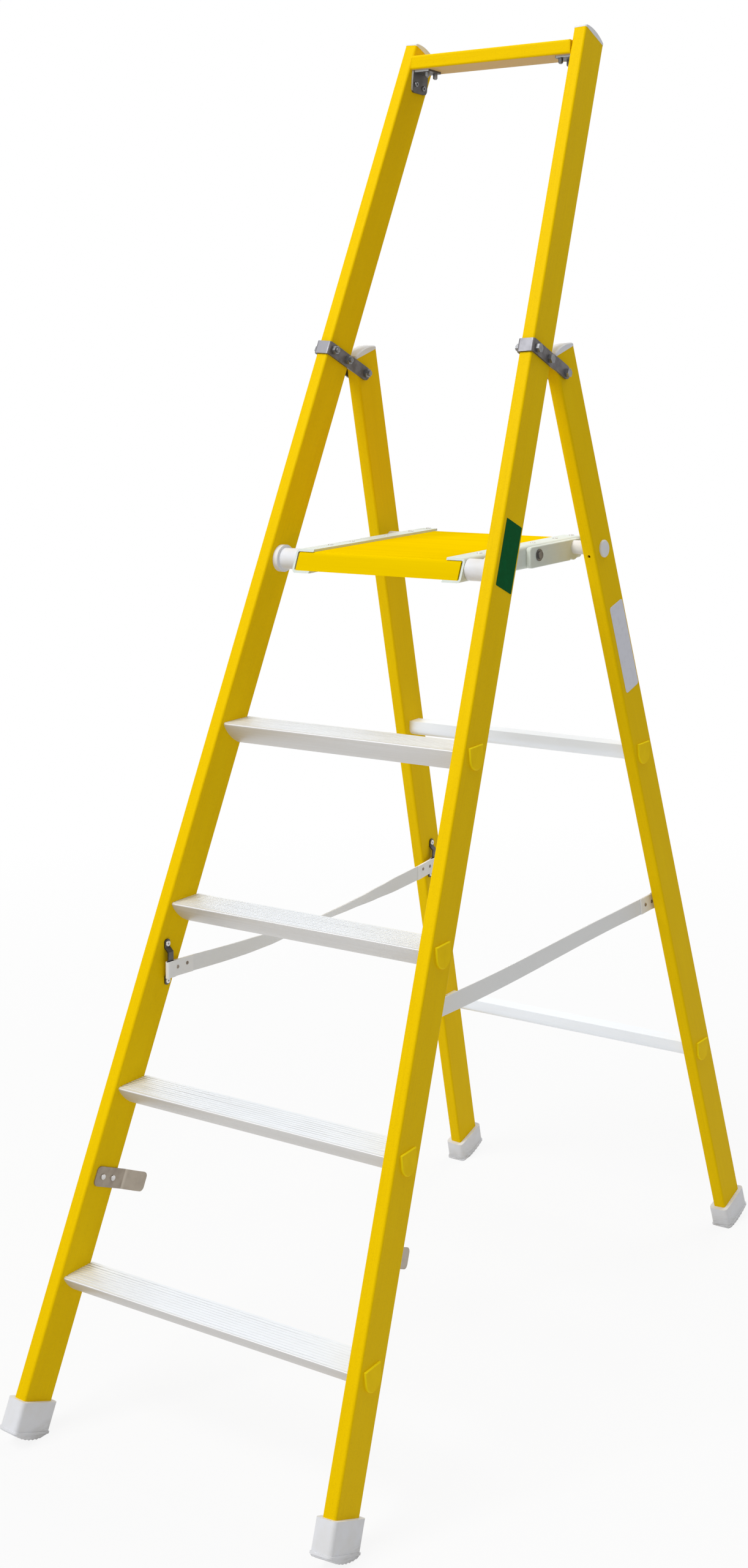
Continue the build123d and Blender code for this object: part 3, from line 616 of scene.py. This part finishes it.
back = (middle.y - FRONT_LINE) * cos(FRONT_LEAN) - middle.z * sin(FRONT_LEAN)
places = []
for side in (-1, 1):
    spot = stile_place(True, side, -(STILE_W + RAIL_GAP) / 2, back, up)
    places.append(spot @ Matrix.Rotation(FRONT_LEAN - RAIL_TILT, 4, "X"))
set_out(packing, places, "rail_packings", "front_frame", rail_yellow)


# Screws of the platform's lips
# Low headed screws through the channels' upper lips into the deck, five a side.
# They stand a hair proud of the lip, in plain steel with a small socket.
LIP_TOP = 1.223
LIP_X = 0.133
LIP_SCREWS = (0.012, 0.068, 0.163, 0.231, 0.282)
LOW_R = 0.0042
LOW_H = 0.0011
LOW_RIM = 0.0007
LOW_SOCKET = 0.0014
places = [Matrix.Translation((side * LIP_X, y, LIP_TOP)) for side in (-1, 1) for y in LIP_SCREWS]
screw = round_head(LOW_R, LOW_H, LOW_RIM, LOW_SOCKET)
set_out(screw, places, "lip_screws", "platform", screw_steel)


# Webbing stays
# Two lengths of 25 mm woven polyester band that stop the frames from spreading.
# Each end goes round its loop's bar, is laid back on itself and held by two rivets.
BAND_W = 0.025
BAND_T = 0.0014
BAND_DROP = -0.010
BAR_IN = 0.0075
TURN_R = 0.0030
TURN_Y = -0.0052
TAIL = 0.050
TAIL_STEP = 0.006
DRAWN_FROM = 0.014
DRAWN_LONG = 0.009
NOSE = (0.004, -0.001)
LAYER = 0.00075
RUN_STEPS = 48
RIPPLE = 0.0022
WEFT = 13
WARP = 17
DOUBLED = (4.35, 4.40)
RIVET_R = 0.0028
RIVET_H = 0.0010
RIVET_RIM = 0.0007
RIVET_BORE = 0.0010
RIVET_OUT = 0.00145
BAND_RIVETS = (0.0145, 0.0360)
WEB_PALE = (0.94, 0.945, 0.94, 1)
WEB_DEEP = (0.76, 0.775, 0.78, 1)
WEB_DOUBLE = (0.97, 0.965, 0.95, 1)
RIVET_STEEL = (0.30, 0.25, 0.20, 1)
RIVET_DARK = (0.15, 0.13, 0.11, 1)


def band_end():
    """Plan of one end from the tail's cut, round the bar, to where both layers part."""
    flat = [(LAYER, TAIL - TAIL_STEP * i) for i in range(6)]
    drawn = [(LAYER + (TURN_R - LAYER) * k, DRAWN_FROM - DRAWN_LONG * k) for k in (0.15, 0.5, 0.85)]
    nose = [(TURN_R, y) for y in NOSE]
    arc = [radians(180 * i / 8) for i in range(9)]
    arc = [(TURN_R * cos(a), TURN_Y - TURN_R * sin(a)) for a in arc]
    back = [(-x, y) for x, y in reversed(flat + drawn + nose)]
    return flat + drawn + nose + arc + back


def band_route(side, sag, rolls):
    """Stations of one stay, each a centre and the direction across the band."""
    near = loop_place(True, side, BAR_IN, BAND_DROP)
    far = loop_place(False, side, BAR_IN, BAND_DROP)
    ends = []
    for place, way in ((near, 1), (far, -1)):
        upright = (place.to_3x3() @ Vector((side, 0, 0))).normalized()
        spots = [place.translation + Vector((x, way * y, 0)) for x, y in band_end()]
        ends.append([(spot, upright) for spot in spots])
    first, last = ends[0], ends[1][::-1]
    start, stop = first[-1], last[0]
    run = []
    for i in range(1, RUN_STEPS):
        t = i / RUN_STEPS
        spot = start[0].lerp(stop[0], t)
        spot.x += RIPPLE * sin(2 * pi * t)
        place = t * (len(rolls) - 1)
        low = min(int(place), len(rolls) - 2)
        ease = (1 - cos(pi * (place - low))) / 2
        lean = radians(rolls[low] + (rolls[low + 1] - rolls[low]) * ease)
        upright = start[1].lerp(stop[1], t)
        run.append((spot, (upright * cos(lean) + Vector((sin(lean), 0, 0))).normalized()))
    span = far.translation.y - near.translation.y
    stations = []
    for spot, across in first + run + last:
        t = min(1.0, max(0.0, (spot.y - near.translation.y) / span))
        stations.append((spot - Vector((0, 0, 4 * sag * t * (1 - t))), across))
    return stations


def band(name, side, sag, rolls):
    """One stay, from a flat grid laid along its route, with its weave on a UV map."""
    route = band_route(side, sag, rolls)
    reach = [0.0]
    for (a, _), (b, _) in zip(route, route[1:]):
        reach.append(reach[-1] + (b - a).length)
    clear()
    bpy.ops.mesh.primitive_grid_add(x_subdivisions=len(route) - 1, y_subdivisions=6, size=1)
    piece = bpy.context.object
    piece.name = name
    spots = [(round((v.co.x + 0.5) * (len(route) - 1)), v.co.y) for v in piece.data.vertices]
    threads = piece.data.uv_layers.active.data
    for corner in piece.data.loops:
        station, v = spots[corner.vertex_index]
        threads[corner.index].uv = (reach[station] / BAND_W, v + 0.5)
    for vertex, (station, v) in zip(piece.data.vertices, spots):
        centre, across = route[station]
        vertex.co = centre + across * (v * BAND_W)
    wall = piece.modifiers.new("weave", "SOLIDIFY")
    wall.thickness = BAND_T
    wall.offset = 0.0
    bpy.ops.object.modifier_apply(modifier=wall.name)
    bpy.ops.object.shade_smooth_by_angle(angle=radians(50))
    return piece, reach[-1]


def webbing(name, length):
    """Plain weave on the UV map, paler where the band is doubled at its ends."""
    material, shader, start = finish(name, 0.8, Sheen_Weight=0.25, Sheen_Roughness=0.5)
    lay = start.node("UVMap", {}, {})
    u = start.node("SeparateXYZ", {}, {0: lay}, 0)
    v = start.node("SeparateXYZ", {}, {0: lay}, 1)
    weft = start.node("Math", {"operation": "SINE"}, {0: u * (2 * pi * WEFT)})
    warp = start.node("Math", {"operation": "SINE"}, {0: v * (2 * pi * WARP)})
    weave = between(weft * warp, -1.0, 1.0)
    fuzz = grain(start.node("VectorMath", {"operation": "MULTIPLY"}, {0: lay, 1: (30, 60, 1)}), 3.0)
    edge = between(v.node("Math", {"operation": "ABSOLUTE"}, {0: v - 0.5}), 0.44, 0.49)
    colour = blend_of(0.30 * weave + 0.40 * fuzz, WEB_PALE, WEB_DEEP)
    colour = blend_of(0.35 * edge, colour, WEB_DOUBLE)
    near = 1 - between(u, DOUBLED[0], DOUBLED[1])
    far = between(u, length / BAND_W - DOUBLED[1], length / BAND_W - DOUBLED[0])
    feed(shader, "Base Color", blend_of(0.55 * (near + far), colour, WEB_DOUBLE))
    feed(shader, "Roughness", 0.74 + 0.16 * fuzz)
    relief(shader, weave + 0.3 * fuzz, 0.0003, 0.5)
    return material


band_rivet = plated("band_rivet", RIVET_STEEL, RIVET_DARK, 0.34)
SLACK_ROLLS = (0, 3, 7, 16, 30, 45, 39, 31, 17, 2, 0)
TAUT_ROLLS = (0, -6, -4, -2, 0, 2, 4, 0)
stays = ((-1, "left", 0.016, SLACK_ROLLS), (1, "right", 0.002, TAUT_ROLLS))
for side, hand, sag, rolls in stays:
    piece, length = band(f"webbing_{hand}", side, sag, rolls)
    piece.data.materials.clear()
    piece.data.materials.append(webbing(f"webbing_{hand}", length))
    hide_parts(f"stay_{hand}")
    head = round_head(RIVET_R, RIVET_H, RIVET_RIM, RIVET_BORE, 18)
    places = []
    for front, way in ((True, 1), (False, -1)):
        bar = loop_place(front, side, BAR_IN, BAND_DROP).translation
        for along_band in BAND_RIVETS:
            for out in (-1, 1):
                spot = Matrix.Translation(bar + Vector((out * RIVET_OUT, way * along_band, 0)))
                places.append(spot @ Matrix.Rotation(out * pi / 2, 4, "Y"))
    rivets = set_out(head, places, f"webbing_rivets_{hand}", "front_frame", band_rivet)
    # The ride that set_out gives the rivets is taken off again, so they belong to no body, as the band
    # does.
    rivets.parent = None
    del rivets["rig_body"]
    near = loop_place(True, side, BAR_IN, BAND_DROP).translation
    far = loop_place(False, side, BAR_IN, BAND_DROP).translation
    for soft in (piece, rivets):
        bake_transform(soft)


# Labels
# Two thin vinyl plates, one green on a front stile and one pale on a rear stile, both bare.
# They are stuck on the outer faces and have rounded corners.
GREEN = (0.0005, 0.092, 0.020, 1)
GREEN_PALE = (0.0015, 0.120, 0.034, 1)
PALE = (0.77, 0.78, 0.85, 1)
PALE_DULL = (0.67, 0.68, 0.74, 1)
VINYL_T = 0.0004
VINYL_RIM = 0.0008


def label(name, front, heights, edges, corner, material):
    """A flat plate on the right stile's outer face, with rounded corners, between two heights
    along the stile and two edges fore and aft of its middle."""
    low, high = heights
    fore, aft = edges
    clear()
    bpy.ops.mesh.primitive_plane_add(size=1)
    piece = bpy.context.object
    piece.name = name
    bpy.ops.object.mode_set(mode="EDIT")
    bpy.ops.mesh.select_all(action="SELECT")
    bpy.ops.transform.resize(value=(aft - fore, high - low, 1))
    bpy.ops.mesh.bevel(offset=corner, segments=6, affect="VERTICES")
    bpy.ops.mesh.select_all(action="SELECT")
    bpy.ops.mesh.extrude_region_move(TRANSFORM_OT_translate={"value": (0, 0, VINYL_T)})
    pick(piece, lambda centre, normal: normal.z > 0.9 and centre.z > VINYL_T / 2)
    bpy.ops.mesh.inset(thickness=VINYL_RIM, depth=0.0)
    bpy.ops.mesh.select_all(action="SELECT")
    bpy.ops.mesh.normals_make_consistent(inside=False)
    bpy.ops.object.mode_set(mode="OBJECT")
    spot = stile_place(front, 1, STILE_W / 2, (fore + aft) / 2, (low + high) / 2)
    piece.matrix_world = spot @ Matrix(((0, 0, 1, 0), (1, 0, 0, 0), (0, 1, 0, 0), (0, 0, 0, 1)))
    bpy.ops.object.transform_apply(location=True, rotation=True, scale=True)
    piece.data.materials.append(material)
    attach(piece, "front_frame" if front else "rear_frame")
    return piece


def vinyl(name, colour, worn):
    """Plain satin vinyl, slightly rubbed."""
    material, shader, start = finish(name, 0.4, Specular_IOR_Level=0.015)
    rub = grain(along(start, STRAIGHT, (60, 90, 90)), 4.0, 0.65)
    fine = grain(along(start, STRAIGHT, (900, 900, 900)), 2.0)
    feed(shader, "Base Color", blend_of(between(rub, 0.5, 0.75) * 0.6, colour, worn))
    feed(shader, "Roughness", 0.28 + 0.16 * rub)
    relief(shader, fine, 0.0001, 0.4)
    return material


green = vinyl("vinyl_green", GREEN, GREEN_PALE)
label("green_label", True, (1.303, 1.402), (-0.0205, 0.0235), 0.0015, green)
pale = vinyl("vinyl_pale", PALE, PALE_DULL)
pale_plate = label("pale_label", False, (1.022, 1.166), (-0.017, 0.024), 0.005, pale)


# Floor and light
# A pale seamless floor, two large soft lamps overhead, before and behind, and an even white room.
# The floor fades to the white of the room away from the ladder and keeps its shadow.
FLOOR_Z = cad_box[0][2]
FLOOR_GREY = (0.72, 0.72, 0.72, 1)
WHITE = (1, 1, 1, 1)
ROOM_LIGHT = 0.39


def backdrop_rays(start):
    """1 for rays of the camera, of gloss and through glass, which see the white; 0 for the rest."""
    camera_ray = start.node("LightPath", {}, {}, "Is Camera Ray")
    glossy_ray = start.node("LightPath", {}, {}, "Is Glossy Ray")
    through_ray = start.node("LightPath", {}, {}, "Is Transmission Ray")
    return between(camera_ray + glossy_ray + through_ray, 0.0, 1.0)


clear()
bpy.ops.mesh.primitive_grid_add(x_subdivisions=8, y_subdivisions=8, size=60)
floor = bpy.context.object
floor.name = "floor"
floor.data.transform(Matrix.Translation((0, 0, FLOOR_Z)))
paper, shader, start = finish("floor_paper", 0.9)
shader.inputs["Base Color"].default_value = FLOOR_GREY
place = start.node("TexCoord", {}, {}, "Object")
reach = start.node("VectorMath", {"operation": "LENGTH"}, {0: place}, out="Value")
glow = start.node("Emission", {}, {"Color": WHITE, "Strength": 1.0})
matt = Shade(start.tree, shader.outputs[0])
fade = backdrop_rays(start) * (0.88 + 0.12 * between(reach, 0.9, 3.2))
mixed = start.node("MixShader", {}, {0: fade, 1: matt, 2: glow})
start.tree.links.new(mixed.socket, start.tree.nodes["Material Output"].inputs["Surface"])
floor.data.materials.append(paper)

room = bpy.data.worlds.new("white_room")
room.use_nodes = True
bpy.context.scene.world = room
start = Shade(room.node_tree)
ambient = start.node("Background", {}, {"Color": WHITE, "Strength": ROOM_LIGHT})
backdrop = start.node("Background", {}, {"Color": WHITE, "Strength": 1.0})
mixed = start.node("MixShader", {}, {0: backdrop_rays(start), 1: ambient, 2: backdrop})
start.tree.links.new(mixed.socket, room.node_tree.nodes["World Output"].inputs["Surface"])


def lamp(name, spot, target, size, power):
    """A large square soft lamp aimed at a point."""
    light = bpy.data.lights.new(name, "AREA")
    light.size = size
    light.energy = power
    holder = bpy.data.objects.new(name, light)
    holder.location = spot
    holder.rotation_euler = (Vector(target) - Vector(spot)).to_track_quat("-Z", "Y").to_euler()
    bpy.context.scene.collection.objects.link(holder)


lamp("front_lamp", spot=(-1.2, -3.6, 5.6), target=(0, 0, 0.9), size=3.0, power=240)
lamp("top_lamp", spot=(0.4, 2.4, 5.0), target=(0, 0.2, 0.8), size=2.5, power=80)


# Camera
# The photograph's place: in front, to the right and a little above the deck.
# The small shift sets the upright frame round the ladder.
eye = bpy.data.cameras.new("camera")
eye.lens = 45.979
eye.shift_x = -0.02324
eye.shift_y = -0.05245
eye.clip_end = 200
holder = bpy.data.objects.new("camera", eye)
holder.location = (1.65883, -2.43134, 1.54941)
holder.rotation_euler = (radians(79.32468), radians(1.05881), radians(33.85068))
bpy.context.scene.collection.objects.link(holder)
bpy.context.scene.camera = holder
bpy.context.scene.view_settings.view_transform = "Standard"
